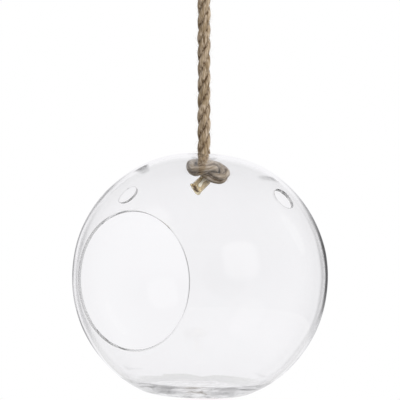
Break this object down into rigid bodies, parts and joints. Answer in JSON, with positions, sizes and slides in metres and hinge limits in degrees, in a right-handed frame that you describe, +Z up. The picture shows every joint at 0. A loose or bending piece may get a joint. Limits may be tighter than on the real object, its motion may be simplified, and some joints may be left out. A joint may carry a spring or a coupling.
{
  "type": "hanging vase",
  "caption": "Clear blown-glass globe vase with a round side opening and air holes, hung on a knotted jute rope with an eye at its upper end.",
  "frame": {"origin": "the point inside the rope's eye that bears on the hook", "axes": "+Z up along the hanging rope, -Y towards the side the round opening faces, +X from one air hole towards the other"},
  "size_m": [0.2, 0.1867, 0.4134],
  "materials": {
    "clear_glass": "clear blown soda-lime glass, fire-polished rims",
    "jute_rope": "three-strand laid natural jute, hairy",
    "jute_twine": "natural jute twine",
    "clear_tape": "clear glossy adhesive tape"
  },
  "bodies": {
    "hanger": {"hang_loop": "jute_rope", "loop_binding": "jute_twine"},
    "rope": {"hanging_rope": "jute_rope"},
    "knot": {"stop_knot": "jute_rope", "tail_tape": "clear_tape"},
    "globe": {"glass_globe": "clear_glass"}
  },
  "joints": [
    {"name": "rope_sway", "type": "hinge", "parent": "hanger", "child": "rope", "pos_m": [0, 0, -0.08935], "axis": [0, 1, 0], "range_deg": [-30, 30]},
    {"name": "rope_twist", "type": "hinge", "parent": "rope", "child": "knot", "pos_m": [0, 0, -0.2174], "axis": [0, 0, 1], "range_deg": [-180, 180], "stiffness_Nm_per_rad": 0.01},
    {"name": "globe_lift", "type": "slide", "parent": "knot", "child": "globe", "axis": [0, 0, 1], "range_m": [0, 0.1]}
  ]
}
